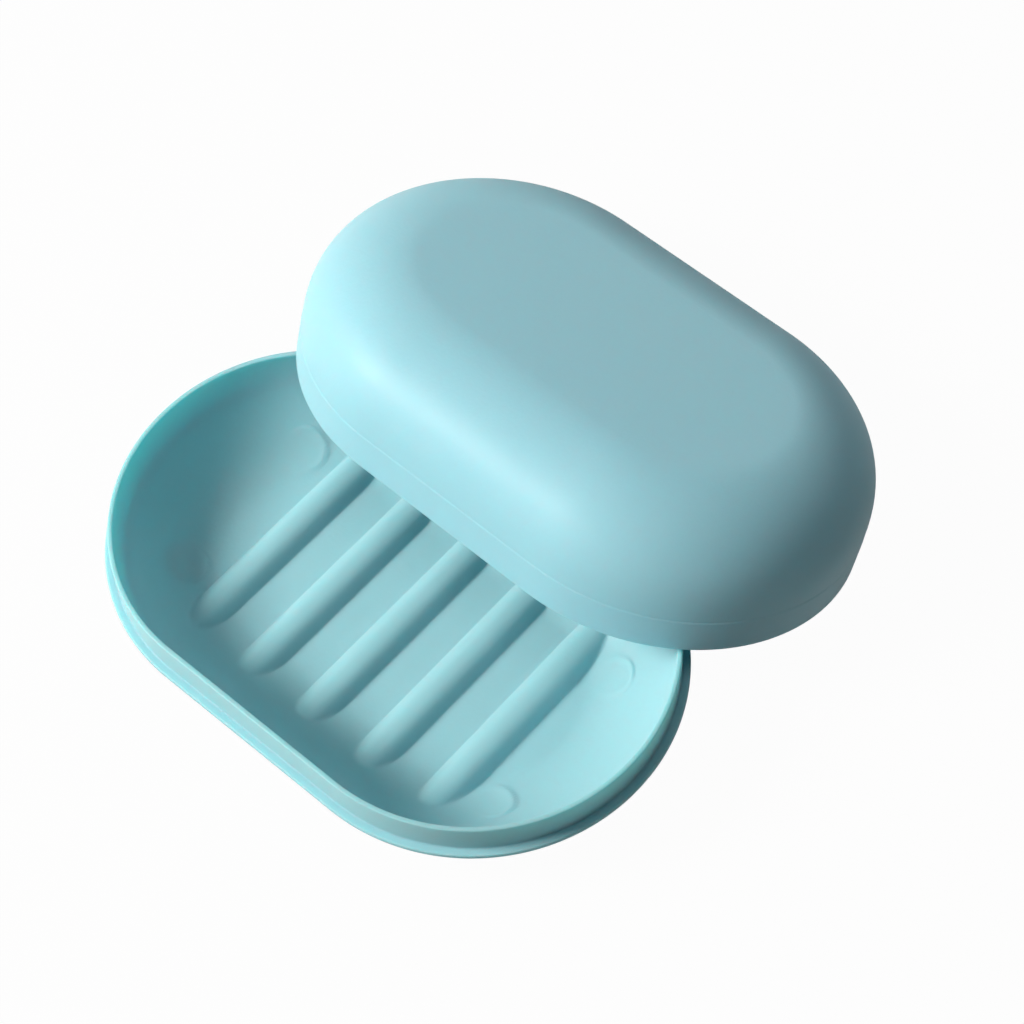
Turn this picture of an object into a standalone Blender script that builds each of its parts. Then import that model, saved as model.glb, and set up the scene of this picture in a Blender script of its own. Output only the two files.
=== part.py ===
"""Two-piece soap dish: a ribbed tray on four feet, and a domed lid that leans on the rim of the tray.

Lengths are in metres. The tray lies along X with its feet on z = 0. The lid stands on its far edge and
rests over the rim of the tray, as it does when it has been taken off.
"""
from math import cos, hypot, pi, radians, sin

import bmesh
import bpy
from mathutils import Matrix, Vector

# Outline that both pieces share: a slot shape with half-round ends
BODY_LENGTH = 0.1145
BODY_WIDTH = 0.0750

# Lid
LID_WALL = 0.0012
LID_HEIGHT = 0.0261
SKIRT_HEIGHT = 0.0076
SKIRT_STEP = 0.00025
SHOULDER_WIDTH = 0.0172
SHOULDER_POWER_ACROSS = 1.85
SHOULDER_POWER_UP = 2.4

# Rim and ledge of the tray, which the closed lid goes over and stands on
LID_CLEARANCE = 0.00034
RIM_HEIGHT = 0.0067
RIM_WALL = 0.00093
LEDGE_THICKNESS = 0.0011

# Bowl of the tray
BOWL_DEPTH = 0.0168
BOWL_ROUNDING = 0.0168
BOWL_POWER = 1.75
TRAY_WALL = 0.0010

# Ribs across the floor, hollow from below
RIB_COUNT = 5
RIB_PITCH = 0.0142
RIB_ROW_SHIFT = 0.0008
RIB_HALF_WIDTH = 0.0037
RIB_HEIGHT = 0.0032
RIB_POWER = 2.0
GROOVE_NARROWING_SHARE = 0.45

# Feet below the corners of the floor, and the round marks above them
FOOT_X = 0.0374
FOOT_Y = 0.0160
FOOT_RADIUS = 0.0045
FOOT_HEIGHT = 0.0005
MARK_RADIUS = 0.0041
MARK_RISE = 0.0003

# Softened outer edges
EDGE_ROUNDING = 0.0003

# Place of the lid beside the tray
LID_SHIFT_ALONG = 0.0027
LID_SHIFT_ACROSS = 0.0470
LID_TURN = radians(-0.7)
REST_CLEARANCE = 0.0003

# Fineness of the surfaces
END_STEPS = 26
CURVE_STEPS = 11
EDGE_STEPS = 2
RIB_STEPS = 12
ROUND_STEPS = 28
REST_ROUNDS = 30
HALVINGS = 40
SMOOTH_ANGLE = radians(32)

# Values that follow from the ones above
OUTLINE_RADIUS = BODY_WIDTH / 2
END_CENTRE_X = (BODY_LENGTH - BODY_WIDTH) / 2
LID_INNER_RADIUS = OUTLINE_RADIUS - LID_WALL
RIM_RADIUS = LID_INNER_RADIUS - LID_CLEARANCE
BOWL_RADIUS = RIM_RADIUS - RIM_WALL
FLOOR_RADIUS = BOWL_RADIUS - BOWL_ROUNDING
UNDERSIDE_Z = FOOT_HEIGHT
FLOOR_Z = UNDERSIDE_Z + TRAY_WALL
RIM_TOP_Z = FLOOR_Z + BOWL_DEPTH
LEDGE_Z = RIM_TOP_Z - RIM_HEIGHT
LEDGE_UNDERSIDE_Z = LEDGE_Z - LEDGE_THICKNESS


def slot_ring(radius, height):
    """Points of the slot outline with the given end radius, anticlockwise seen from above."""
    ring = []
    for side in (1, -1):
        for step in range(END_STEPS + 1):
            angle = pi * (step / END_STEPS - 0.5)
            ring.append(Vector((side * (END_CENTRE_X + radius * cos(angle)), side * radius * sin(angle), height)))
    return ring


def rounded_corner(radius, height, inward, upward):
    """Radius and height pairs round an edge; inward and upward give the sides on which the material lies."""
    centre_radius = radius + inward * EDGE_ROUNDING
    centre_height = height + upward * EDGE_ROUNDING
    pairs = []
    for step in range(EDGE_STEPS + 1):
        angle = pi / 2 * step / EDGE_STEPS
        pairs.append((centre_radius - inward * EDGE_ROUNDING * cos(angle),
                      centre_height - upward * EDGE_ROUNDING * sin(angle)))
    return pairs


def bowl_pairs(wall, first_height):
    """Radius and height pairs down the bowl, from first_height to its floor, at a wall outside the inner face."""
    rounding = BOWL_ROUNDING + wall
    depth = BOWL_DEPTH + wall
    first_share = (first_height - FLOOR_Z + wall) / depth
    first_reach = (1 - (1 - first_share) ** BOWL_POWER) ** (1 / BOWL_POWER)
    pairs = []
    for step in range(CURVE_STEPS + 1):
        angle = pi / 2 * step / CURVE_STEPS
        reach = cos(angle) ** (2 / BOWL_POWER)
        if reach < first_reach or first_share == 1:
            drop = sin(angle) ** (2 / BOWL_POWER)
            pairs.append((FLOOR_RADIUS + rounding * reach, FLOOR_Z - wall + depth * (1 - drop)))
    if first_share < 1:
        pairs.insert(0, (FLOOR_RADIUS + rounding * first_reach, first_height))
    return pairs


def dome_pairs(wall):
    """Radius and height pairs up the lid's shoulder, from the skirt to the flat top, at a wall inside its face."""
    flat_radius = OUTLINE_RADIUS - SKIRT_STEP - SHOULDER_WIDTH
    width = SHOULDER_WIDTH - wall
    rise = LID_HEIGHT - SKIRT_HEIGHT - wall
    pairs = []
    for step in range(CURVE_STEPS + 1):
        angle = pi / 2 * step / CURVE_STEPS
        pairs.append((flat_radius + width * cos(angle) ** (2 / SHOULDER_POWER_ACROSS),
                      SKIRT_HEIGHT + rise * sin(angle) ** (2 / SHOULDER_POWER_UP)))
    return pairs


def lofted_body(name, pairs):
    """Closed body through slot rings, given as radius and height pairs from its lower cap to its upper cap."""
    mesh = bmesh.new()
    rings = [[mesh.verts.new(point) for point in slot_ring(radius, height)] for radius, height in pairs]
    count = len(rings[0])
    for lower, upper in zip(rings, rings[1:]):
        for index in range(count):
            following = (index + 1) % count
            mesh.faces.new((lower[index], lower[following], upper[following], upper[index]))
    mesh.faces.new(reversed(rings[0]))
    mesh.faces.new(rings[-1])
    return object_from(name, mesh)


def object_from(name, mesh):
    """Scene object that holds a finished mesh with its faces turned outwards."""
    bmesh.ops.recalc_face_normals(mesh, faces=mesh.faces[:])
    data = bpy.data.meshes.new(name)
    mesh.to_mesh(data)
    mesh.free()
    thing = bpy.data.objects.new(name, data)
    bpy.context.scene.collection.objects.link(thing)
    return thing


def upright_disc(name, radius, bottom, top, place):
    """Round disc about its own Z axis, put in place by a matrix."""
    mesh = bmesh.new()
    rings = []
    for height in (bottom, top):
        ring = []
        for step in range(ROUND_STEPS):
            angle = 2 * pi * step / ROUND_STEPS
            ring.append(mesh.verts.new(place @ Vector((radius * cos(angle), radius * sin(angle), height))))
        rings.append(ring)
    for index in range(ROUND_STEPS):
        following = (index + 1) % ROUND_STEPS
        mesh.faces.new((rings[0][index], rings[0][following], rings[1][following], rings[1][index]))
    mesh.faces.new(reversed(rings[0]))
    mesh.faces.new(rings[1])
    return object_from(name, mesh)


def rib_bar(name, centre_x, half_width, bottom, base, crest):
    """Long bar along Y with the rounded roof section of a rib, and straight sides below its base."""
    section = [(half_width, bottom)]
    for step in range(RIB_STEPS + 1):
        across = 1 - 2 * step / RIB_STEPS
        section.append((across * half_width, base + (crest - base) * (1 - abs(across) ** RIB_POWER)))
    section.append((-half_width, bottom))
    mesh = bmesh.new()
    ends = []
    for end_y in (-OUTLINE_RADIUS, OUTLINE_RADIUS):
        ends.append([mesh.verts.new((centre_x + across, end_y, height)) for across, height in section])
    count = len(section)
    for index in range(count):
        following = (index + 1) % count
        mesh.faces.new((ends[0][index], ends[0][following], ends[1][following], ends[1][index]))
    mesh.faces.new(ends[0])
    mesh.faces.new(reversed(ends[1]))
    return object_from(name, mesh)


def combine(body, tool, operation):
    """Join a tool to a body, or cut it away, and remove the tool."""
    step = body.modifiers.new(tool.name, "BOOLEAN")
    step.operation = operation
    step.solver = "EXACT"
    step.object = tool
    graph = bpy.context.evaluated_depsgraph_get()
    result = bpy.data.meshes.new_from_object(body.evaluated_get(graph))
    body.modifiers.remove(step)
    before = body.data
    body.data = result
    bpy.data.meshes.remove(before)
    bpy.data.objects.remove(tool)


def rib_centres():
    """Places of the ribs along the tray. The row lies slightly off its middle."""
    return [RIB_ROW_SHIFT + RIB_PITCH * (index - (RIB_COUNT - 1) / 2) for index in range(RIB_COUNT)]


def foot_centres():
    """Places of the four feet."""
    return [(side * FOOT_X, end * FOOT_Y) for side in (-1, 1) for end in (-1, 1)]


def tray_hull():
    """Outside of the tray as a solid block: floor, bowl wall, ledge and rim."""
    pairs = list(reversed(bowl_pairs(TRAY_WALL, LEDGE_UNDERSIDE_Z)))
    pairs.extend(reversed(rounded_corner(OUTLINE_RADIUS, LEDGE_UNDERSIDE_Z, -1, 1)))
    pairs.extend(rounded_corner(OUTLINE_RADIUS, LEDGE_Z, -1, -1))
    pairs.append((RIM_RADIUS, LEDGE_Z))
    pairs.extend(rounded_corner(RIM_RADIUS, RIM_TOP_Z, -1, -1))
    return lofted_body("tray", pairs)


def tray_cavity():
    """Room inside the bowl, flared round the edge of the rim, with the ribs left out of it."""
    pairs = [pair for pair in reversed(bowl_pairs(0, RIM_TOP_Z)) if pair[1] < RIM_TOP_Z - EDGE_ROUNDING]
    pairs.extend(rounded_corner(BOWL_RADIUS, RIM_TOP_Z, 1, -1))
    pairs.append((pairs[-1][0], RIM_TOP_Z + EDGE_ROUNDING))
    cavity = lofted_body("cavity", pairs)
    for centre_x in rib_centres():
        rib = rib_bar("rib", centre_x, RIB_HALF_WIDTH, FLOOR_Z - TRAY_WALL, FLOOR_Z, FLOOR_Z + RIB_HEIGHT)
        combine(cavity, rib, "DIFFERENCE")
    return cavity


def add_feet(tray):
    """Four round feet that reach up into the rising wall; the cavity trims them to the inside of the bowl."""
    for centre_x, centre_y in foot_centres():
        place = Matrix.Translation((centre_x, centre_y, 0))
        foot = upright_disc("foot", FOOT_RADIUS, 0, RIB_HEIGHT + FLOOR_Z, place)
        combine(tray, foot, "UNION")


def add_marks(tray):
    """Four low round marks above the feet, each following the curve of the bowl."""
    for centre_x, centre_y in foot_centres():
        place = Matrix.Translation((centre_x, centre_y, 0))
        mark = upright_disc("mark", MARK_RADIUS, FLOOR_Z - TRAY_WALL / 2, LEDGE_Z, place)
        room_above = lofted_body("room_above", list(reversed(bowl_pairs(-MARK_RISE, RIM_TOP_Z))))
        combine(mark, room_above, "DIFFERENCE")
        combine(tray, mark, "UNION")


def build_tray():
    """The dish: hull, grooves below the ribs, feet, then the inside of the bowl and its marks."""
    tray = tray_hull()
    groove_half_width = RIB_HALF_WIDTH - GROOVE_NARROWING_SHARE * TRAY_WALL
    for centre_x in rib_centres():
        groove = rib_bar("groove", centre_x, groove_half_width, UNDERSIDE_Z - TRAY_WALL, UNDERSIDE_Z,
                         UNDERSIDE_Z + RIB_HEIGHT)
        combine(tray, groove, "DIFFERENCE")
    add_feet(tray)
    combine(tray, tray_cavity(), "DIFFERENCE")
    add_marks(tray)
    return tray


def build_lid():
    """The cover about its own axes, with its lip on z = 0 and its flat top above."""
    pairs = list(reversed(dome_pairs(LID_WALL)))
    pairs.append((LID_INNER_RADIUS, 0))
    pairs.extend(reversed(rounded_corner(OUTLINE_RADIUS, 0, -1, 1)))
    pairs.append((OUTLINE_RADIUS, SKIRT_HEIGHT - SKIRT_STEP))
    pairs.extend(dome_pairs(0))
    return lofted_body("lid", pairs)


def lid_pose(lid, lean, roll):
    """Matrix that leans and rolls the lid, and lowers it until it touches the table."""
    turned = (Matrix.Rotation(LID_TURN, 4, "Z") @ Matrix.Rotation(roll, 4, "Y") @ Matrix.Rotation(-lean, 4, "X"))
    lowest = min((turned @ vertex.co).z for vertex in lid.data.vertices)
    return Matrix.Translation((LID_SHIFT_ALONG, LID_SHIFT_ACROSS, -lowest)) @ turned


def rim_crossing(pose, side):
    """Point of the lip's inner edge that lies over the outer edge of the rim, on one side of the tray."""
    outside, inside = 0, pi / 2
    for _ in range(HALVINGS):
        angle = (outside + inside) / 2
        across = LID_INNER_RADIUS * cos(angle)
        point = pose @ Vector((side * (END_CENTRE_X + across), -LID_INNER_RADIUS * sin(angle), 0))
        if hypot(max(abs(point.x) - END_CENTRE_X, 0), point.y) > RIM_RADIUS:
            outside = angle
        else:
            inside = angle
    return point


def lid_rest(lid):
    """Pose in which the lid clears the rim by the same small gap on both sides and stands on the table."""
    lean, roll = 0, 0
    for _ in range(REST_ROUNDS):
        pose = lid_pose(lid, lean, roll)
        left, right = rim_crossing(pose, -1), rim_crossing(pose, 1)
        lean += (RIM_TOP_Z + REST_CLEARANCE - (left.z + right.z) / 2) / BODY_WIDTH
        roll += (right.z - left.z) / (right.x - left.x)
    return lid_pose(lid, lean, roll)


def plastic(name, colour, roughness):
    """Moulded plastic with one colour through it."""
    material = bpy.data.materials.new(name)
    material.use_nodes = True
    shader = material.node_tree.nodes["Principled BSDF"]
    shader.inputs["Base Color"].default_value = colour
    shader.inputs["Roughness"].default_value = roughness
    shader.inputs["Metallic"].default_value = 0
    return material


def tray_material():
    """Satin aqua plastic of the tray."""
    return plastic("tray_plastic", (0.30, 0.62, 0.67, 1), 0.35)


def lid_material():
    """Satin aqua plastic of the lid."""
    return plastic("lid_plastic", (0.29, 0.60, 0.66, 1), 0.38)


def finish(thing, material):
    """Give a piece its material, and smooth its curved faces."""
    thing.data.materials.clear()
    thing.data.materials.append(material)
    thing.data.shade_smooth()
    thing.data.set_sharp_from_angle(angle=SMOOTH_ANGLE)


def centre_on_origin(things):
    """Move all the pieces together, so that the origin is below the middle of the whole object."""
    corners = [thing.matrix_world @ vertex.co for thing in things for vertex in thing.data.vertices]
    middle_x = (min(corner.x for corner in corners) + max(corner.x for corner in corners)) / 2
    middle_y = (min(corner.y for corner in corners) + max(corner.y for corner in corners)) / 2
    for thing in things:
        thing.location -= Vector((middle_x, middle_y, 0))


def main():
    """Build both pieces and set the lid down beside the tray."""
    for thing in list(bpy.data.objects):
        bpy.data.objects.remove(thing)
    tray = build_tray()
    lid = build_lid()
    finish(tray, tray_material())
    finish(lid, lid_material())
    lid.matrix_world = lid_rest(lid)
    bpy.context.view_layer.update()
    centre_on_origin([tray, lid])


main()
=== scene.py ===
"""Looks of a two-piece soap dish: a ribbed tray on four feet, and a domed lid that leans on its rim.

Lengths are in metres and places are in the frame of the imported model, unless a name says otherwise.
"""

import logging
from dataclasses import dataclass, field
from enum import Enum
from math import acos, asin, cos, pi, radians, sin, sqrt, tan

import bpy
import numpy as np
from mathutils import Matrix, Vector


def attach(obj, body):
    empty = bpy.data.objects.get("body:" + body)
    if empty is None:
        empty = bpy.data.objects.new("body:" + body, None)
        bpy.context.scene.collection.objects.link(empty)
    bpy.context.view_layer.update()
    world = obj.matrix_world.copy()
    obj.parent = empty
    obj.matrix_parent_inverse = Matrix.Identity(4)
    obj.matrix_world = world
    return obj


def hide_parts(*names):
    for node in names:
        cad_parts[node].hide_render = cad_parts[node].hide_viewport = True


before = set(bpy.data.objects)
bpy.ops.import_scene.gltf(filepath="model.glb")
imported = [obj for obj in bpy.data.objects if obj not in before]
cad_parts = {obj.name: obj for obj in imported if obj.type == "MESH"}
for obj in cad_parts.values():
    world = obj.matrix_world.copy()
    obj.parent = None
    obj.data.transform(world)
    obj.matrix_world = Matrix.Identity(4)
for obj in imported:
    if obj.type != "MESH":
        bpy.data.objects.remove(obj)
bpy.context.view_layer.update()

IMAGE_SIDE_PX = 1024
WELD_DISTANCE = 0.000001
SKIN_TOLERANCE = 0.5
TRAY_MIDDLE = (-0.0013859, -0.0243829)
WHITE = (1.0, 1.0, 1.0)
WARM_WHITE = (1.0, 0.96, 0.91)
COOL_WHITE = (0.9, 0.97, 1.0)

Pairs = list[tuple[float, float]]
Corners = list[tuple[float, float, float]]
Number = int | float
Values = dict[str | int, object]
Colour = tuple[float, float, float]

log = logging.getLogger("soap_dish")


class Skin(Enum):
    """Part of the tray's shell that a point belongs to, with the number for it in the mesh."""

    WALL = 0.0
    INSIDE = 1.0
    UNDERSIDE = 2.0


@dataclass(frozen=True)
class Outline:
    """Slot shape with half-round ends that both pieces share.

    Attributes:
        radius: End radius of the widest outline.
        half_straight: Distance of the ends' centres from the middle.
    """

    radius: float = 0.0375
    half_straight: float = 0.01975


def spread(first: float, last: float, steps: int) -> list[float]:
    """Evenly spaced values from the first to the last, with both of them."""
    return [first + (last - first) * step / steps for step in range(steps + 1)]


def quadrant(width: float, rise: float, powers: tuple[float, float], first: float, last: float,
             steps: int) -> Pairs:
    """Points along a quarter of a superellipse.

    Args:
        width: Half axis across.
        rise: Half axis upwards.
        powers: Exponents across and upwards, 2 for an ellipse and more for a squarer corner.
        first: First angle of the rule in radians, 0 at the side and pi / 2 at the end of the rise.
        last: Last angle of the rule in radians.
        steps: Number of steps between them.

    Returns:
        Pairs of reach across and way along the rise.
    """
    return [(width * max(cos(angle), 0.0) ** (2 / powers[0]),
             rise * max(sin(angle), 0.0) ** (2 / powers[1])) for angle in spread(first, last, steps)]


def filleted(corners: Corners, steps: int = 5, support: float = 0.00012) -> Pairs:
    """Profile through corners that are rounded, with a support point on either side of each arc.

    Args:
        corners: Radius, height and rounding of each corner. The first and last are plain ends.
        steps: Number of steps round each arc.
        support: Distance of the support points from the ends of the arc.

    Returns:
        Radius and height pairs in order.
    """
    pairs = [corners[0][:2]]
    for before, corner, after in zip(corners, corners[1:], corners[2:]):
        place, rounding = Vector(corner[:2]), corner[2]
        back = (Vector(before[:2]) - place).normalized()
        ahead = (Vector(after[:2]) - place).normalized()
        half_angle = back.angle(ahead) / 2
        reach = rounding / tan(half_angle)
        middle = place + (back + ahead).normalized() * rounding / sin(half_angle)
        start, end = place + back * reach - middle, place + ahead * reach - middle
        pairs.append(tuple(place + back * (reach + support)))
        pairs.extend(tuple(middle + start.slerp(end, step / steps).normalized() * rounding)
                     for step in range(steps + 1))
        pairs.append(tuple(place + ahead * (reach + support)))
    return pairs + [corners[-1][:2]]


class Field:
    """A value that varies over the points of a geometry. Arithmetic on it adds maths nodes to its tree."""

    def __init__(self, tree: "NodeTree", socket: bpy.types.NodeSocket) -> None:
        """Keep the tree and the socket that gives the value."""
        self.tree = tree
        self.socket = socket

    def maths(self, operation: str, *others: "Field | Number", clamp: bool = False) -> "Field":
        """Result of a maths node.

        Args:
            operation: Name of the node's operation.
            others: Its second and third values.
            clamp: Whether the result stays between 0 and 1.

        Returns:
            The node's output.
        """
        node = self.tree.node("ShaderNodeMath", dict(enumerate((self, *others))), operation=operation,
                              use_clamp=clamp)
        return Field(self.tree, node.outputs[0])

    def __add__(self, other: "Field | Number") -> "Field":
        """Sum."""
        return self.maths("ADD", other)

    def __sub__(self, other: "Field | Number") -> "Field":
        """Difference."""
        return self.maths("SUBTRACT", other)

    def __rsub__(self, other: Number) -> "Field":
        """Difference from a plain number."""
        return self * -1 + other

    def __mul__(self, other: "Field | Number") -> "Field":
        """Product."""
        return self.maths("MULTIPLY", other)

    def __truediv__(self, other: "Field | Number") -> "Field":
        """Quotient."""
        return self.maths("DIVIDE", other)

    def __pow__(self, other: "Field | Number") -> "Field":
        """Power."""
        return self.maths("POWER", other)

    def least(self, other: "Field | Number") -> "Field":
        """The smaller of two values."""
        return self.maths("MINIMUM", other)

    def most(self, other: "Field | Number") -> "Field":
        """The larger of two values."""
        return self.maths("MAXIMUM", other)

    def size(self) -> "Field":
        """The value without its sign."""
        return self.maths("ABSOLUTE")

    def share(self) -> "Field":
        """The value kept between 0 and 1."""
        return self.maths("ADD", 0.0, clamp=True)


class NodeTree:
    """A node tree that is built by code."""

    def __init__(self, tree: bpy.types.NodeTree) -> None:
        """Keep the tree."""
        self.tree = tree

    def fill(self, node: bpy.types.Node, values: Values) -> bpy.types.Node:
        """Set inputs of a node.

        Args:
            node: The node.
            values: The value of each input, by its name or number. A field or the output of another
                node is linked.

        Returns:
            The node.
        """
        for name, value in values.items():
            if isinstance(value, Field):
                value = value.socket
            if isinstance(value, bpy.types.NodeSocket):
                self.tree.links.new(value, node.inputs[name])
            else:
                node.inputs[name].default_value = value
        return node

    def node(self, kind: str, values: Values | None = None, **settings: object) -> bpy.types.Node:
        """Add a node.

        Args:
            kind: Type of the node.
            values: The value of each input that isn't left as it comes.
            settings: Properties to set on it.

        Returns:
            The node.
        """
        made = self.tree.nodes.new(kind)
        for name, value in settings.items():
            setattr(made, name, value)
        return self.fill(made, values or {})


class ShaderTree(NodeTree):
    """The node tree of a material or a world."""

    def __init__(self, owner: bpy.types.Material | bpy.types.World) -> None:
        """Switch the owner's nodes on and keep its tree."""
        owner.use_nodes = True
        super().__init__(owner.node_tree)

    def own(self, name: str) -> bpy.types.Node:
        """A node that the tree has from the start."""
        return self.tree.nodes[name]


class GeometryTree(NodeTree):
    """A geometry node tree with named inputs, which is applied to a mesh."""

    def __init__(self, name: str) -> None:
        """Start an empty tree with a geometry input and output."""
        super().__init__(bpy.data.node_groups.new(name, "GeometryNodeTree"))
        for way in ("INPUT", "OUTPUT"):
            self.tree.interface.new_socket("Geometry", in_out=way, socket_type="NodeSocketGeometry")
        self.entry = self.node("NodeGroupInput")
        self.given = self.entry.outputs["Geometry"]

    def number(self, name: str, kind: str = "NodeSocketFloat") -> Field:
        """Add a named input.

        Args:
            name: The input's name.
            kind: Its socket type.

        Returns:
            The input's value.
        """
        self.tree.interface.new_socket(name, in_out="INPUT", socket_type=kind)
        return Field(self, self.entry.outputs[name])

    def numbers(self, *names: str) -> tuple[Field, ...]:
        """Add several named inputs and give their values."""
        return tuple(self.number(name) for name in names)

    def split(self, socket: bpy.types.NodeSocket) -> tuple[Field, Field, Field]:
        """The three parts of a vector."""
        node = self.node("ShaderNodeSeparateXYZ", {0: socket})
        return tuple(Field(self, output) for output in node.outputs)

    def joined(self, parts: tuple["Field | Number", ...]) -> bpy.types.NodeSocket:
        """A vector from its three parts."""
        return self.node("ShaderNodeCombineXYZ", dict(enumerate(parts))).outputs[0]

    def place(self) -> tuple[Field, Field, Field]:
        """The three coordinates of each point."""
        return self.split(self.node("GeometryNodeInputPosition").outputs[0])

    def through(self, kind: str, geometry: bpy.types.NodeSocket, **values: object) -> bpy.types.NodeSocket:
        """Geometry after a node that changes it.

        Args:
            kind: Type of the node.
            geometry: The geometry to change.
            values: The node's other inputs.

        Returns:
            The changed geometry.
        """
        return self.node(kind, {"Geometry": geometry, **values}).outputs["Geometry"]

    def moved(self, geometry: bpy.types.NodeSocket, place: tuple["Field | Number", ...],
              chosen: "Field | bool" = True) -> bpy.types.NodeSocket:
        """Geometry with its points put in new places.

        Args:
            geometry: The geometry to change.
            place: The three coordinates of each point's new place.
            chosen: Which points move.

        Returns:
            The changed geometry.
        """
        return self.through("GeometryNodeSetPosition", geometry, Selection=chosen,
                            Position=self.joined(place))

    def grid(self, sizes: tuple["Field | Number", ...],
             counts: tuple["Field | int", ...]) -> bpy.types.NodeSocket:
        """A flat mesh of evenly spaced points round the middle.

        Args:
            sizes: Its length both ways.
            counts: Number of points both ways.

        Returns:
            The mesh.
        """
        values = zip(("Size X", "Size Y", "Vertices X", "Vertices Y"), (*sizes, *counts))
        return self.node("GeometryNodeMeshGrid", dict(values)).outputs["Mesh"]

    def sheet(self, across: "Field | int",
              along: "Field | int") -> tuple[bpy.types.NodeSocket, Field, Field]:
        """A grid of points, with the step numbers of each point.

        Args:
            across: Number of points one way.
            along: Number of points the other way.

        Returns:
            The grid, and each point's two step numbers.
        """
        x, y, _ = self.place()
        first, second = (x + 0.5) * (across - 1), (y + 0.5) * (along - 1)
        return self.grid((1.0, 1.0), (across, along)), first.maths("ROUND"), second.maths("ROUND")

    def real(self, geometry: bpy.types.NodeSocket) -> bpy.types.NodeSocket:
        """Geometry whose instances are made real."""
        return self.through("GeometryNodeRealizeInstances", geometry)

    def welded(self, geometry: bpy.types.NodeSocket) -> bpy.types.NodeSocket:
        """Geometry whose points in the same place are one."""
        return self.through("GeometryNodeMergeByDistance", geometry, Distance=WELD_DISTANCE)

    def together(self, *geometries: bpy.types.NodeSocket) -> bpy.types.NodeSocket:
        """Several geometries as one."""
        node = self.node("GeometryNodeJoinGeometry")
        for geometry in geometries:
            self.fill(node, {0: geometry})
        return node.outputs[0]

    def height_of(self, target: bpy.types.NodeSocket, x: Field, y: Field, from_height: float) -> Field:
        """Height at which a ray straight up meets a mesh.

        Args:
            target: The mesh that is met.
            x: First coordinate of the ray.
            y: Second coordinate of the ray.
            from_height: Height at which the ray starts.

        Returns:
            The height of the place that it meets first.
        """
        node = self.node("GeometryNodeRaycast", {"Target Geometry": target,
                                                 "Source Position": self.joined((x, y, from_height)),
                                                 "Ray Direction": (0.0, 0.0, 1.0)})
        return self.split(node.outputs["Hit Position"])[2]

    def four_discs(self, radius: Field, around: int, along: int,
                   crowding: float) -> tuple[bpy.types.NodeSocket, Field, Field, Field, Field]:
        """Four closed round sheets at the corners of a rectangle, for a shape to be given to them.

        Args:
            radius: Radius of each.
            around: Number of steps round each.
            along: Number of steps from its middle to its edge.
            crowding: 1 for even steps, and more for steps that are closer together at the edge.

        Returns:
            The sheets, two coordinates of each point, its distance inwards from the edge, and its way
            along: 0 to 1 outwards over the lower face, and 1 to 2 back over the upper one.
        """
        disc, turn, step = self.sheet(around + 1, 2 * along + 1)
        angle, way = turn * (2 * pi / around), step / along
        reach = (1 - (way - 1).size() ** crowding) * radius
        disc = self.moved(disc, (angle.maths("COSINE") * reach, angle.maths("SINE") * reach, way))
        corners = self.grid(self.numbers("Distance along", "Distance across"), (2, 2))
        copies = self.node("GeometryNodeInstanceOnPoints", {"Points": corners,
                                                            "Instance": self.welded(disc)})
        x, y, way = self.place()
        return self.real(copies.outputs[0]), x, y, (way - 1).size() ** crowding * radius, way

    def close(self, geometry: bpy.types.NodeSocket, material: bpy.types.Material) -> None:
        """End the tree: make instances real, set the material and hand the geometry out."""
        dressed = self.through("GeometryNodeSetMaterial", self.real(geometry), Material=material)
        self.node("NodeGroupOutput", {0: dressed})

    def apply(self, thing: bpy.types.Object, values: dict[str, Number]) -> None:
        """Run the tree on an object's mesh and keep the plain mesh that comes out.

        Args:
            thing: The object. Its mesh is the tree's first input, and then its result.
            values: The tree's named inputs.
        """
        step = thing.modifiers.new(self.tree.name, "NODES")
        step.node_group = self.tree
        for item in self.tree.interface.items_tree:
            if item.in_out == "INPUT" and item.name in values:
                step[item.identifier] = values[item.name]
        graph = bpy.context.evaluated_depsgraph_get()
        made = bpy.data.meshes.new_from_object(thing.evaluated_get(graph), preserve_all_data_layers=True,
                                               depsgraph=graph)
        thing.modifiers.remove(step)
        before, thing.data = thing.data, made
        bpy.data.meshes.remove(before)


def piece_from(name: str, points: np.ndarray, faces: list[tuple[int, ...]]) -> bpy.types.Object:
    """Scene object from points and faces.

    Args:
        name: Name of the object and its mesh.
        points: One row of three coordinates for each point.
        faces: Point numbers round each face.

    Returns:
        The object.
    """
    mesh = bpy.data.meshes.new(name)
    mesh.from_pydata([tuple(point) for point in points], [], faces)
    thing = bpy.data.objects.new(name, mesh)
    bpy.context.scene.collection.objects.link(thing)
    return thing


def hand_over(thing: bpy.types.Object, place: Matrix, node: str) -> None:
    """Put a finished piece where its CAD solid is, and let it stand for that solid.

    Args:
        thing: The piece, still in its own axes.
        place: Where those axes are.
        node: Name of the CAD node and of the body that it rides on.
    """
    thing.data.transform(place)
    thing.data.shade_smooth()
    thing.data.name = thing.name
    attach(thing, node)
    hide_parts(node)
    triangles = sum(len(face.vertices) - 2 for face in thing.data.polygons)
    log.info("%s: %d triangles, stands for %s", thing.name, triangles, node)


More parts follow.
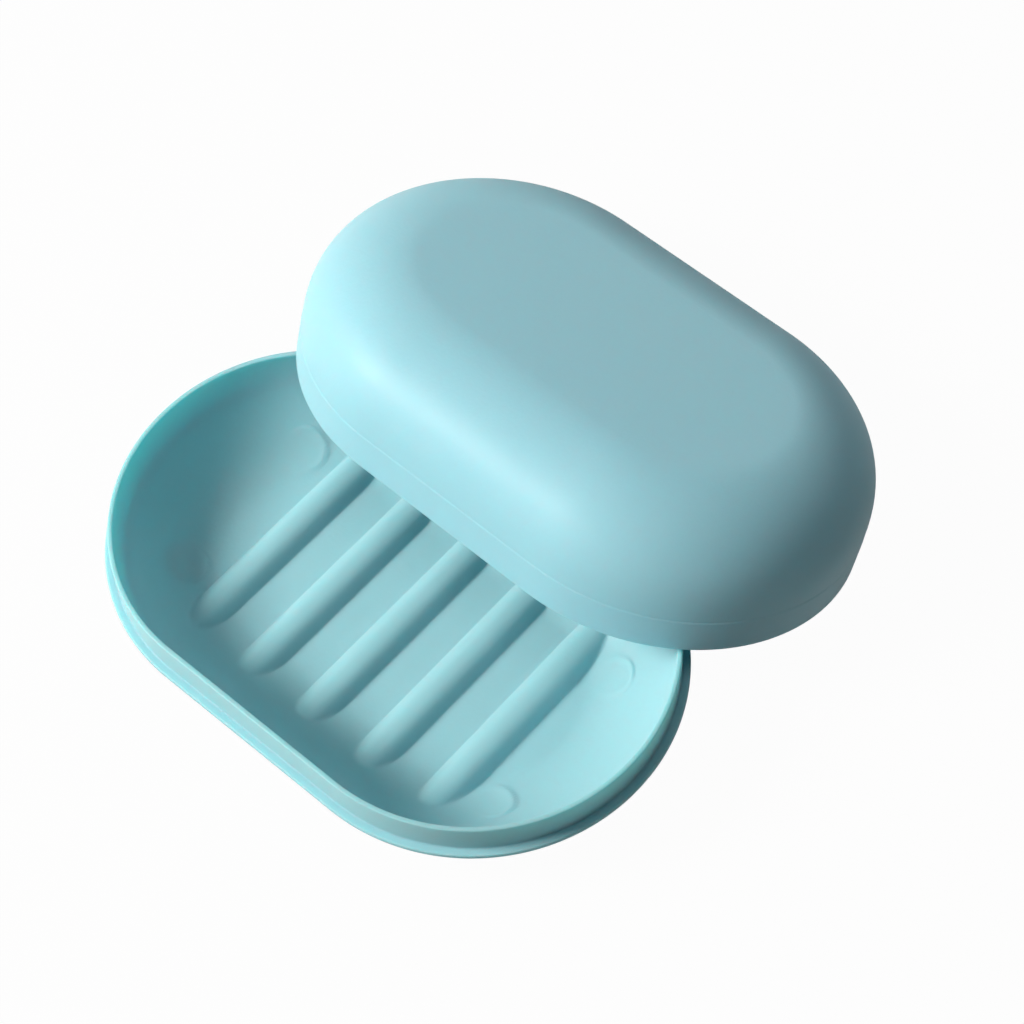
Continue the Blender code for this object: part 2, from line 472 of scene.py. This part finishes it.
@dataclass(frozen=True)
class SatinPlastic:
    """Coloured polypropylene with a fine satin skin, a little see-through where it is thin.

    Attributes:
        name: Name of the material.
        colour: Colour of the plastic.
        cloud_colour: Colour of its faint cloudy patches.
        roughness: Middle roughness of the skin.
        roughness_spread: How far the roughness wanders either way.
        gloss: Strength of the skin's reflections, 0.5 for a clean polished skin.
        edge_gloss: Share of it that is left where the skin is seen at a low angle.
        fade_from: How far the skin is turned away where the reflections begin to fade, 1 for edge on.
        fade_to: How far it is turned away where they have faded.
        depth: Share of the light that goes below the skin.
        reach: How far that light wanders, for red, green and blue.
        thin_from: Height above which light comes through the wall, or None where it does nowhere.
        thin_blend: Height over which this sets in.
        thin_reach: How far the light wanders there.
        cloud_size: Size of the cloudy patches.
        cloud_detail: How many finer steps they have.
        wander_size: Size of the patches over which the roughness wanders.
        wander_detail: How many finer steps these have.
        grain_size: Size of the skin's fine grain.
        grain_detail: How many finer steps it has.
        grain_height: Height of that grain.
        index: Refractive index.
    """

    name: str
    colour: Colour
    cloud_colour: Colour
    roughness: float = 0.37
    roughness_spread: float = 0.04
    gloss: float = 0.18
    edge_gloss: float = 0.05
    fade_from: float = 0.3
    fade_to: float = 0.9
    depth: float = 0.72
    reach: Colour = (0.0006, 0.0019, 0.0018)
    thin_from: float | None = None
    thin_blend: float = 0.0008
    thin_reach: Colour = (0.0005, 0.0042, 0.0038)
    cloud_size: float = 0.03
    cloud_detail: float = 3.0
    wander_size: float = 0.0075
    wander_detail: float = 4.0
    grain_size: float = 0.0007
    grain_detail: float = 2.0
    grain_height: float = 0.00002
    index: float = 1.49

    def build(self) -> bpy.types.Material:
        """Make the material.

        Returns:
            The node material, on object coordinates.
        """
        material = bpy.data.materials.new(self.name)
        tree = ShaderTree(material)
        place = tree.node("ShaderNodeTexCoord").outputs["Object"]

        def noise(size: float, detail: float) -> bpy.types.NodeSocket:
            """Noise with patches of a given size and as many finer steps as given."""
            values = {"Scale": 1.0 / size, "Detail": detail, "Vector": place}
            return tree.node("ShaderNodeTexNoise", values).outputs["Fac"]

        tint = tree.node("ShaderNodeMixRGB", {"Fac": noise(self.cloud_size, self.cloud_detail),
                                              "Color1": (*self.colour, 1.0),
                                              "Color2": (*self.cloud_colour, 1.0)})
        wander = tree.node("ShaderNodeMapRange", {"Value": noise(self.wander_size, self.wander_detail),
                                                  "To Min": self.roughness - self.roughness_spread,
                                                  "To Max": self.roughness + self.roughness_spread})
        bump = tree.node("ShaderNodeBump", {"Height": noise(self.grain_size, self.grain_detail),
                                            "Distance": self.grain_height})
        turned_away = tree.node("ShaderNodeLayerWeight").outputs["Facing"]
        gloss = tree.node("ShaderNodeMapRange", {"Value": turned_away, "From Min": self.fade_from,
                                                 "From Max": self.fade_to, "To Min": self.gloss,
                                                 "To Max": self.gloss * self.edge_gloss})
        shader = tree.fill(tree.own("Principled BSDF"), {
            "Base Color": tint.outputs["Color"], "Roughness": wander.outputs["Result"],
            "Normal": bump.outputs["Normal"], "Specular IOR Level": gloss.outputs["Result"],
            "IOR": self.index, "Subsurface Weight": self.depth, "Subsurface Scale": 1.0,
            "Subsurface Radius": self.reach})
        if self.thin_from is not None:
            tree.fill(shader, {"Subsurface Radius": self.reach_by_height(tree, place)})
        return material

    def reach_by_height(self, tree: ShaderTree, place: bpy.types.NodeSocket) -> bpy.types.NodeSocket:
        """How far the light wanders where a part of the wall is thin enough for it to come through.

        Args:
            tree: The material's tree.
            place: Place of each point in object coordinates.

        Returns:
            The plain reach below that part, and the longer one in it.
        """
        height = tree.node("ShaderNodeSeparateXYZ", {"Vector": place}).outputs["Z"]
        thin = tree.node("ShaderNodeMapRange", {"Value": height, "From Min": self.thin_from,
                                                "From Max": self.thin_from + self.thin_blend})
        reach = tree.node("ShaderNodeMixRGB", {"Fac": thin.outputs["Result"],
                                               "Color1": (*self.reach, 1.0),
                                               "Color2": (*self.thin_reach, 1.0)})
        return reach.outputs["Color"]


@dataclass
class Tray:
    """The dish: a rounded bowl with crosswise ribs, an upright rim, a ledge and four feet.

    An edge is the radius of a rounding, and edge_room is the length that the bowl's wall leaves for one,
    in such radii. The crease lines are the mesh lines at the foot of a rib, in crease steps from it.
    """

    finish: SatinPlastic
    outline: Outline = field(default_factory=Outline)
    middle: tuple[float, float] = TRAY_MIDDLE
    # the shell
    foot_height: float = 0.0005
    wall: float = 0.0010
    bowl_depth: float = 0.0168
    bowl_rounding: float = 0.0168
    bowl_power: float = 1.75
    rim_setback: float = 0.00154
    rim_wall: float = 0.00093
    rim_height: float = 0.0067
    ledge_thickness: float = 0.0011
    edge: float = 0.0003
    edge_room: float = 3.0
    # the ribs, and the grooves below them
    rib_count: int = 5
    rib_pitch: float = 0.0142
    rib_shift: float = 0.0008
    rib_half_width: float = 0.0037
    rib_height: float = 0.0026
    rib_power: float = 2.4
    rib_softness: float = 0.00025
    rib_flank: float = 2.0
    groove_narrowing: float = 0.45
    # the feet, and the round marks above them
    foot_x: float = 0.0374
    foot_y: float = 0.0160
    foot_radius: float = 0.0045
    foot_edge: float = 0.0004
    foot_root: float = 0.00005
    mark_radius: float = 0.0041
    mark_rise: float = 0.0003
    mark_edge: float = 0.0004
    mark_lip: float = 0.00025
    mark_lip_inset: float = 0.0007
    mark_lip_half_width: float = 0.0005
    mark_turn: float = radians(47)
    mark_tilt_power: float = 1.4
    # how fine the mesh is, and how far out its floor sheet reaches
    sheet_radius: float = 0.0284
    column_step: float = 0.00042
    crease_step: float = 0.00011
    crease_lines: tuple[float, ...] = (-2.2, -1.0, 0.0, 1.0, 2.2)
    end_step: float = radians(1.35)
    tip_step: float = radians(4.0)
    inside_rows: int = 90
    underside_rows: int = 36
    row_crowding: float = 0.3
    inside_wall_steps: int = 30
    outside_wall_steps: int = 16
    foot_steps_around: int = 48
    foot_steps_along: int = 10
    foot_crowding: float = 1.7

    @property
    def floor_z(self) -> float:
        """Height of the floor's upper face."""
        return self.foot_height + self.wall

    @property
    def rim_top_z(self) -> float:
        """Height of the top of the rim."""
        return self.floor_z + self.bowl_depth

    @property
    def rim_radius(self) -> float:
        """End radius of the rim's outer face."""
        return self.outline.radius - self.rim_setback

    @property
    def bowl_radius(self) -> float:
        """End radius of the rim's inner face."""
        return self.rim_radius - self.rim_wall

    @property
    def floor_radius(self) -> float:
        """End radius of the flat part of the floor."""
        return self.bowl_radius - self.bowl_rounding

    def columns(self) -> list[float]:
        """Places along the tray at which its mesh has lines across, close together at the ribs' feet.

        Returns:
            The places in rising order, with the tips of the floor sheet at both ends.
        """
        half, radius = self.outline.half_straight, self.sheet_radius
        limit = (self.rib_count - 1) / 2
        centres = [self.rib_shift + (index - limit) * self.rib_pitch for index in range(self.rib_count)]
        stops = {0.0, half, *map(abs, centres)}
        for foot in (abs(centre + side * self.rib_half_width) for centre in centres for side in (-1, 1)):
            stops.update(foot + line * self.crease_step for line in self.crease_lines)
        ordered = sorted(stops)
        right = []
        for low, high in zip(ordered, ordered[1:]):
            count = max(1, round((high - low) / self.column_step))
            right.extend(spread(low, high, count)[:-1])
        first, last = asin((ordered[-1] - half) / radius), pi / 2 - self.tip_step
        angles = spread(first, last, round((last - first) / self.end_step))
        right.extend(half + radius * sin(angle) for angle in angles)
        right.append(half + radius)
        return [-place for place in reversed(right[1:])] + right

    def bowl(self, radius: np.ndarray, wall: float) -> np.ndarray:
        """Height of the bowl.

        Args:
            radius: Distance from the middle line.
            wall: 0 for the inner face, or the wall's thickness for the outer one.

        Returns:
            The height of that face at each distance.
        """
        reach = np.clip((radius - self.floor_radius) / (self.bowl_rounding + wall), 0, 1)
        rise = 1 - (1 - reach ** self.bowl_power) ** (1 / self.bowl_power)
        return self.floor_z - wall + (self.bowl_depth + wall) * rise

    def bowl_wall(self, wall: float, top: float, steps: int) -> Pairs:
        """Profile of one face of the bowl, from the edge of the floor sheet up.

        Args:
            wall: 0 for the inner face, or the wall's thickness for the outer one.
            top: Height at which it ends.
            steps: Number of steps.

        Returns:
            Radius and height pairs, rising.
        """
        depth, width = self.bowl_depth + wall, self.bowl_rounding + wall
        low = acos(((self.sheet_radius - self.floor_radius) / width) ** (self.bowl_power / 2))
        high = asin(((self.rim_top_z - top) / depth) ** (self.bowl_power / 2))
        pairs = quadrant(width, depth, (self.bowl_power, self.bowl_power), low, high, steps)
        return [(self.floor_radius + reach, self.rim_top_z - drop) for reach, drop in pairs]

    def rim_profile(self) -> Pairs:
        """Profile from the floor sheet up the bowl, over the rim and the ledge, and down the outside.

        Returns:
            Radius and height pairs in order.
        """
        edge, top = self.edge, self.rim_top_z
        ledge = top - self.rim_height
        below = ledge - self.ledge_thickness
        inside = self.bowl_wall(0.0, top - self.edge_room * edge, self.inside_wall_steps)
        outside = self.bowl_wall(self.wall, below - self.edge_room * edge, self.outside_wall_steps)
        join = self.bowl_wall(self.wall, below, 1)[-1][0]
        corners = [(*inside[-1], 0.0), (self.bowl_radius, top, edge), (self.rim_radius, top, edge),
                   (self.rim_radius, ledge, edge), (self.outline.radius, ledge, edge),
                   (self.outline.radius, below, edge), (join, below, edge), (*outside[-1], 0.0)]
        return inside[:-1] + filleted(corners) + outside[-2::-1]

    def rows(self, count: int) -> np.ndarray:
        """Shares across the floor sheet of its lines along, which are closer together at its edges."""
        even = np.linspace(-1, 1, count + 1)
        return (1 + self.row_crowding) * even - self.row_crowding * even ** 3

    def wall_band(self, columns: list[float]) -> tuple[list[np.ndarray], list[tuple[int, ...]], int]:
        """Part of the shell that is swept round the tray: the bowl's upper wall, the rim and the ledge.

        Args:
            columns: Places of the mesh's lines across.

        Returns:
            Its points, its faces, and the number of points in one ring. A ring runs anticlockwise from
            the right tip, and each ring's points stand on the ends of the lines across.
        """
        half, places = self.outline.half_straight, np.array(columns)
        starts = np.clip(places, -half, half)
        along = (places - starts) / self.sheet_radius
        across = np.sqrt(np.clip(1 - along ** 2, 0, 1))
        spokes = np.concatenate([np.stack([starts, along, across], axis=1)[::-1],
                                 np.stack([starts, along, -across], axis=1)[1:-1]])
        size = len(spokes)
        points, faces = [], []
        profile = self.rim_profile()
        for radius, height in profile:
            points.extend(np.stack([spokes[:, 0] + radius * spokes[:, 1], radius * spokes[:, 2],
                                    np.full(size, height)], axis=1))
        for level in range(len(profile) - 1):
            for index in range(size):
                here, there = level * size + index, level * size + (index + 1) % size
                faces.append((there, here, here + size, there + size))
        return points, faces, size

    def shell(self) -> bpy.types.Object:
        """Closed shell of the tray, still without its ribs.

        Returns:
            The object, with the skin that each point belongs to as an attribute.
        """
        columns, half = self.columns(), self.outline.half_straight
        points, faces, size = self.wall_band(columns)
        skins = [Skin.WALL.value] * len(points)
        last = len(columns) - 1
        for skin, rows, base, wall in ((Skin.INSIDE, self.rows(self.inside_rows), 0, 0.0),
                                       (Skin.UNDERSIDE, self.rows(self.underside_rows),
                                        len(points) - size, self.wall)):
            lines = []
            for column, place in enumerate(columns):
                far, near = base + last - column, base + (last + column) % size
                if column in (0, last):
                    lines.append([far] * len(rows))
                    continue
                beyond = max(abs(place) - half, 0.0)
                across = sqrt(self.sheet_radius ** 2 - beyond ** 2) * rows[1:-1]
                heights = self.bowl(np.hypot(beyond, across), wall)
                lines.append([near, *range(len(points), len(points) + len(across)), far])
                points.extend(np.stack([np.full(len(across), place), across, heights], axis=1))
                skins.extend([skin.value] * len(across))
            for left, right in zip(lines, lines[1:]):
                for row in range(len(rows) - 1):
                    corners = [left[row], right[row], right[row + 1], left[row + 1]]
                    if skin is Skin.UNDERSIDE:
                        corners.reverse()
                    faces.append(tuple(dict.fromkeys(corners)))
        thing = piece_from("tray_moulding", np.array(points), faces)
        attribute = thing.data.attributes.new("skin", "FLOAT", "POINT")
        attribute.data.foreach_set("value", np.array(skins, np.float32))
        return thing

    def raise_ribs(self, thing: bpy.types.Object, material: bpy.types.Material) -> None:
        """Raise a row of rounded ribs on the inside, and the grooves below them on the underside.

        Args:
            thing: The tray's shell.
            material: Its finish.
        """
        tree = GeometryTree("crosswise_ribs")
        count, pitch, half_width, height = tree.numbers("Count", "Pitch", "Half width", "Height")
        power, flank, softness, base = tree.numbers("Roundness", "Flank slope", "Softness", "Base height")
        x, y, z = tree.place()
        limit, along = (count - 1) / 2, x - tree.number("Shift")
        nearest = (along / pitch).maths("ROUND").least(limit).most(limit * -1)
        across = (along - nearest * pitch).size() / half_width
        crown = base + height - height * across.least(1) ** power
        fall = (across - 1).most(0) * half_width * flank
        rib = (crown - fall).most(base - height)
        keep = ((z - rib) / softness * 0.5 + 0.5).share()
        blended = z * keep + rib * (1 - keep) + softness * keep * (1 - keep)
        tree.close(tree.moved(tree.given, (x, y, blended), self.on_skin(tree)), material)
        shared = {"Count": float(self.rib_count), "Pitch": self.rib_pitch, "Shift": self.rib_shift,
                  "Height": self.rib_height, "Roundness": self.rib_power, "Flank slope": self.rib_flank,
                  "Softness": self.rib_softness}
        tree.apply(thing, {**shared, "Half width": self.rib_half_width, "Base height": self.floor_z,
                           "Skin": Skin.INSIDE.value})
        narrow = self.rib_half_width - self.groove_narrowing * self.wall
        tree.apply(thing, {**shared, "Half width": narrow, "Base height": self.foot_height,
                           "Skin": Skin.UNDERSIDE.value})

    @staticmethod
    def on_skin(tree: GeometryTree) -> Field:
        """Which points belong to the skin that the tree's input names.

        Args:
            tree: The tree, which gets the input.

        Returns:
            1 for these points, and 0 for the others.
        """
        named = tree.node("GeometryNodeInputNamedAttribute", {"Name": "skin"}, data_type="FLOAT")
        difference = Field(tree, named.outputs["Attribute"]) - tree.number("Skin")
        return difference.size().maths("LESS_THAN", SKIN_TOLERANCE)

    def raise_marks(self, thing: bpy.types.Object, material: bpy.types.Material) -> None:
        """Raise a low round mark on the floor above each foot, flush on one side and lipped on the other.

        Args:
            thing: The tray.
            material: Its finish.
        """
        tree = GeometryTree("round_marks")
        radius, rise, edge = tree.numbers("Radius", "Rise", "Edge")
        lip, inset, half_width = tree.numbers("Lip", "Lip inset", "Lip half width")
        x, y, z = tree.place()
        aside = x.size() - tree.number("Distance along")
        ahead = y.size() - tree.number("Distance across")
        gap = (radius - (aside * aside + ahead * ahead) ** 0.5).most(0)
        inwards = (gap / edge).least(1)
        rounding = inwards * inwards * (3 - inwards * 2)
        bump = (1 - ((gap - inset) / half_width) ** 2).most(0) ** 2
        towards = (aside * x.maths("SIGN") * cos(self.mark_turn)
                   + ahead * y.maths("SIGN") * sin(self.mark_turn))
        raised = ((towards / radius + 1) * 0.5).share() ** self.mark_tilt_power
        height = z + (rise * rounding + lip * bump) * raised
        tree.close(tree.moved(tree.given, (x, y, height), self.on_skin(tree)), material)
        tree.apply(thing, {"Radius": self.mark_radius, "Rise": self.mark_rise, "Edge": self.mark_edge,
                           "Lip": self.mark_lip, "Lip inset": self.mark_lip_inset,
                           "Lip half width": self.mark_lip_half_width, "Distance along": self.foot_x,
                           "Distance across": self.foot_y, "Skin": Skin.INSIDE.value})

    def add_feet(self, thing: bpy.types.Object, material: bpy.types.Material) -> None:
        """Grow four round feet from the underside down to the table.

        Args:
            thing: The tray.
            material: Its finish.
        """
        tree = GeometryTree("round_feet")
        radius, edge, root = tree.numbers("Radius", "Edge", "Root")
        discs, x, y, gap, way = tree.four_discs(radius, self.foot_steps_around, self.foot_steps_along,
                                                self.foot_crowding)
        underside = tree.height_of(tree.given, x, y, -self.rim_top_z)
        rounding = edge * (1 - (1 - (1 - (gap / edge).least(1)) ** 2) ** 0.5)
        is_upper = way.maths("GREATER_THAN", 1.0 + WELD_DISTANCE)
        height = (underside + root) * is_upper + rounding * (1 - is_upper)
        tree.close(tree.together(tree.given, tree.moved(discs, (x, y, height))), material)
        tree.apply(thing, {"Radius": self.foot_radius, "Edge": self.foot_edge, "Root": self.foot_root,
                           "Distance along": 2 * self.foot_x, "Distance across": 2 * self.foot_y})

    def build(self) -> None:
        """Make the tray and let it stand for its CAD solid."""
        material = self.finish.build()
        thing = self.shell()
        self.raise_ribs(thing, material)
        self.raise_marks(thing, material)
        thing.data.attributes.remove(thing.data.attributes["skin"])
        self.add_feet(thing, material)
        hand_over(thing, Matrix.Translation((*self.middle, 0.0)), "tray")


@dataclass
class Lid:
    """The cover: an upright skirt, a soft shoulder and a flat top, leaning on the rim of the tray."""

    finish: SatinPlastic
    outline: Outline = field(default_factory=Outline)
    place: tuple[float, float, float] = (0.0013141, 0.0226171, 0.0112955)
    turn: float = radians(-0.7)
    roll: float = radians(0.4135)
    lean: float = radians(-17.4467)
    wall: float = 0.0012
    height: float = 0.0261
    skirt_height: float = 0.0076
    skirt_step: float = 0.00006
    step_drop: float = 0.0006
    step_edge: float = 0.0008
    line_depth: float = 0.00003
    line_half_width: float = 0.0004
    line_edge: float = 0.0003
    shoulder_width: float = 0.0186
    shoulder_powers: tuple[float, float] = (1.78, 2.6)
    lip_edge: float = 0.0004
    end_steps: int = 72
    side_steps: int = 24
    shoulder_steps: int = 34
    top_steps: int = 6

    def dome(self, wall: float) -> Pairs:
        """Profile of one face of the dome, from the top's middle out and down to the skirt.

        Args:
            wall: 0 for the outer face, or the wall's thickness for the inner one.

        Returns:
            Radius and height pairs, falling.
        """
        flat = self.outline.radius - self.skirt_step - self.shoulder_width
        rise = self.height - self.skirt_height - wall
        curve = quadrant(self.shoulder_width - wall, rise, self.shoulder_powers, pi / 2, 0.0,
                         self.shoulder_steps)
        top = [(reach, self.height - wall) for reach in spread(0.0, flat, self.top_steps)[:-1]]
        return top + [(flat + reach, self.skirt_height + way) for reach, way in curve]

    def profile(self) -> Pairs:
        """Profile of the whole lid: down to its lip inside, round the lip, and back to the top outside.

        Returns:
            Radius and height pairs in order, in the lid's own axes, with the lip at 0.
        """
        radius, step, skirt = self.outline.radius, self.skirt_step, self.skirt_height
        inside, outside = self.dome(self.wall), self.dome(0.0)
        corners = [(*inside[-2], 0.0),
                   (radius - step - self.wall, skirt, self.step_edge),
                   (radius - self.wall, skirt - self.step_drop, self.step_edge),
                   (radius - self.wall, 0.0, self.lip_edge), (radius, 0.0, self.lip_edge),
                   (radius, skirt - 2 * self.line_half_width, self.line_edge),
                   (radius - step - self.line_depth, skirt - self.line_half_width, self.line_edge),
                   (radius - step, skirt, self.line_edge), (*outside[-2], 0.0)]
        return inside[:-2] + filleted(corners) + outside[-3::-1]

    def sweep(self, thing: bpy.types.Object, material: bpy.types.Material) -> None:
        """Sweep the profile round the slot-shaped outline.

        Args:
            thing: The object, whose points are the profile's.
            material: Its finish.
        """
        tree = GeometryTree("lid_sweep")
        ends = tree.number("Steps round an end", "NodeSocketInt")
        sides = tree.number("Steps along a side", "NodeSocketInt")
        half = tree.number("Half straight")
        size = tree.node("GeometryNodeAttributeDomainSize", {0: tree.given})
        sheet, step, level = tree.sheet((ends + sides) * 2 + 1, Field(tree, size.outputs["Point Count"]))
        place = tree.node("GeometryNodeInputPosition").outputs[0]
        sample = tree.node("GeometryNodeSampleIndex", {"Geometry": tree.given, "Value": place,
                                                       "Index": level}, data_type="FLOAT_VECTOR")
        radius, _, height = tree.split(sample.outputs["Value"])
        right_end, far_side = (step / ends).share(), ((step - ends) / sides).share()
        left_end = ((step - ends - sides) / ends).share()
        near_side = ((step - ends * 2 - sides) / sides).share()
        angle = (right_end + left_end - 0.5) * pi
        x = (0.5 - far_side + near_side) * 2 * half + angle.maths("COSINE") * radius
        swept = tree.moved(sheet, (x, angle.maths("SINE") * radius, height))
        tree.close(tree.welded(swept), material)
        tree.apply(thing, {"Steps round an end": self.end_steps, "Steps along a side": self.side_steps,
                           "Half straight": self.outline.half_straight})

    def build(self) -> None:
        """Make the lid and let it stand for its CAD solid."""
        points = np.array([(radius, 0.0, height) for radius, height in self.profile()])
        thing = piece_from("lid_moulding", points, [])
        self.sweep(thing, self.finish.build())
        turned = Matrix.Rotation(self.turn, 4, "Z") @ Matrix.Rotation(self.roll, 4, "Y")
        leaned = turned @ Matrix.Rotation(self.lean, 4, "X")
        hand_over(thing, Matrix.Translation(self.place) @ leaned, "lid")


@dataclass(frozen=True)
class Lamp:
    """A square area lamp that points at the middle of the scene.

    Attributes:
        name: Name of the lamp.
        azimuth: Its direction in degrees, 0 along +X and 90 along +Y.
        elevation: Its angle over the table in degrees.
        side: Length of its side.
        power: Its power in watts.
        colour: Colour of its light.
        distance: Its distance from the middle.
    """

    name: str
    azimuth: float
    elevation: float
    side: float
    power: float
    colour: Colour
    distance: float = 1.0

    def build(self) -> None:
        """Add the lamp to the scene."""
        turn, rise = radians(self.azimuth), radians(self.elevation)
        outwards = Vector((cos(turn) * cos(rise), sin(turn) * cos(rise), sin(rise)))
        light = bpy.data.lights.new(self.name, "AREA")
        light.shape, light.size, light.energy, light.color = "SQUARE", self.side, self.power, self.colour
        thing = bpy.data.objects.new(self.name, light)
        thing.location = outwards * self.distance
        thing.rotation_euler = outwards.to_track_quat("Z", "Y").to_euler()
        bpy.context.scene.collection.objects.link(thing)


@dataclass(frozen=True)
class Studio:
    """A pale table in a white room, with soft lamps.

    Attributes:
        lamps: The lamps.
        room_light: Strength of the light that the white room gives.
        table_side: Length of the table's side.
        table_colour: Grey of the table, which the light bounces off.
        table_roughness: Roughness of the table.
        table_glow: Share of plain white in what is seen of the table. The rest is its real shading.
    """

    lamps: tuple[Lamp, ...]
    room_light: float = 0.012
    table_side: float = 3.0
    table_colour: float = 0.5
    table_roughness: float = 1.0
    table_glow: float = 0.97

    @staticmethod
    def seen_directly(tree: ShaderTree) -> bpy.types.NodeSocket:
        """1 for camera, glossy and transmission rays, and 0 for light that only bounces.

        Args:
            tree: The node tree to add to.

        Returns:
            The value.
        """
        path = tree.node("ShaderNodeLightPath")
        total = path.outputs["Is Camera Ray"]
        for name in ("Is Glossy Ray", "Is Transmission Ray"):
            larger = tree.node("ShaderNodeMath", {0: total, 1: path.outputs[name]}, operation="MAXIMUM")
            total = larger.outputs[0]
        return total

    @staticmethod
    def mix(tree: ShaderTree, share: bpy.types.NodeSocket, shaders: tuple[bpy.types.Node, bpy.types.Node],
            output: str) -> None:
        """Mix two shaders and make the result the tree's.

        Args:
            tree: The node tree to add to.
            share: Share of the second shader.
            shaders: The two shaders.
            output: Name of the tree's output node.
        """
        first, second = (shader.outputs[0] for shader in shaders)
        blend = tree.node("ShaderNodeMixShader", {0: share, 1: first, 2: second})
        tree.fill(tree.own(output), {0: blend.outputs[0]})

    def table(self) -> None:
        """Add the table: plain white where it is seen, with a part of its real shading for the shadow."""
        side = self.table_side / 2
        thing = piece_from("table_top", np.array([(-side, -side, 0), (side, -side, 0), (side, side, 0),
                                                  (-side, side, 0)]), [(0, 1, 2, 3)])
        material = bpy.data.materials.new("table_white")
        tree = ShaderTree(material)
        shader = tree.fill(tree.own("Principled BSDF"), {"Base Color": (*(self.table_colour,) * 3, 1.0),
                                                         "Roughness": self.table_roughness})
        glow = tree.node("ShaderNodeEmission")
        part = tree.node("ShaderNodeMath", {0: self.seen_directly(tree), 1: self.table_glow},
                         operation="MULTIPLY")
        self.mix(tree, part.outputs[0], (shader, glow), "Material Output")
        thing.data.materials.append(material)

    def room(self) -> None:
        """Set the world: white where it is seen, and dimmer as a light."""
        world = bpy.data.worlds.new("white_room")
        tree = ShaderTree(world)
        dim = tree.fill(tree.own("Background"), {"Color": (*WHITE, 1.0), "Strength": self.room_light})
        seen = tree.node("ShaderNodeBackground", {"Color": (*WHITE, 1.0), "Strength": 1.0})
        self.mix(tree, self.seen_directly(tree), (dim, seen), "World Output")
        bpy.context.scene.world = world

    def build(self) -> None:
        """Add the table, the room and the lamps, and set the plain view transform."""
        self.table()
        self.room()
        for lamp in self.lamps:
            lamp.build()
            log.info("%s: %.2f W", lamp.name, lamp.power)
        bpy.context.scene.view_settings.view_transform = "Standard"


@dataclass(frozen=True)
class Viewpoint:
    """Where the photograph was taken from.

    Attributes:
        target: The point that the angles turn about: over the tray's middle, level with its rim.
        azimuth: Turn round the upright axis in degrees.
        elevation: Angle over the table in degrees.
        roll: Tilt of the picture in degrees.
        aside: Distance of the target to the right of the line of sight.
        above: Distance of the target above the line of sight.
        distance: Distance along the line of sight.
        focal_px: Focal length in pixels of the photograph.
        sensor_mm: Width of the sensor in millimetres.
        near_clip: Distance from which things are seen.
    """

    target: tuple[float, float, float] = (*TRAY_MIDDLE, 0.0183)
    azimuth: float = 44.1292
    elevation: float = 58.5016
    roll: float = -3.6294
    aside: float = -0.0213947
    above: float = -0.0112553
    distance: float = 0.4429018
    focal_px: float = 2525.838
    sensor_mm: float = 36.0
    near_clip: float = 0.01

    def build(self) -> None:
        """Add the camera and make it the scene's."""
        turn, rise, tilt = radians(self.azimuth), radians(self.elevation), radians(self.roll)
        back = Vector((sin(turn) * cos(rise), -cos(turn) * cos(rise), sin(rise)))
        level = Vector((cos(turn), sin(turn), 0.0))
        upright = back.cross(level)
        right = level * cos(tilt) + upright * sin(tilt)
        up = upright * cos(tilt) - level * sin(tilt)
        place = Vector(self.target) - right * self.aside - up * self.above + back * self.distance
        lens = bpy.data.cameras.new("photograph_view")
        lens.sensor_width, lens.clip_start = self.sensor_mm, self.near_clip
        lens.lens = self.focal_px / IMAGE_SIDE_PX * self.sensor_mm
        thing = bpy.data.objects.new("photograph_view", lens)
        thing.matrix_world = Matrix.Translation(place) @ Matrix((right, up, back)).transposed().to_4x4()
        bpy.context.scene.collection.objects.link(thing)
        bpy.context.scene.camera = thing


TRAY_FINISH = SatinPlastic("tray_satin_aqua", colour=(0.345, 0.645, 0.71),
                           cloud_colour=(0.365, 0.665, 0.73), thin_from=0.0124)
LID_FINISH = SatinPlastic("lid_satin_aqua", colour=(0.36, 0.68, 0.78), cloud_colour=(0.38, 0.70, 0.80),
                          roughness=0.46, gloss=0.3)
MAIN_LAMP = Lamp("soft_main_lamp", azimuth=-132.0, elevation=38.0, side=0.35, power=12.0,
                 colour=WARM_WHITE)
LEFT_FILL = Lamp("far_left_fill", azimuth=115.0, elevation=24.0, side=0.5, power=1.2, colour=COOL_WHITE)
TOP_FILL = Lamp("overhead_fill", azimuth=0.0, elevation=88.0, side=0.5, power=1.4, colour=COOL_WHITE)
STUDIO = Studio((MAIN_LAMP, LEFT_FILL, TOP_FILL))


def main() -> None:
    """Build the pieces, the studio and the camera."""
    logging.basicConfig(level=logging.INFO, format="%(message)s")
    Tray(TRAY_FINISH).build()
    Lid(LID_FINISH).build()
    STUDIO.build()
    Viewpoint().build()


if __name__ == "__main__":
    main()
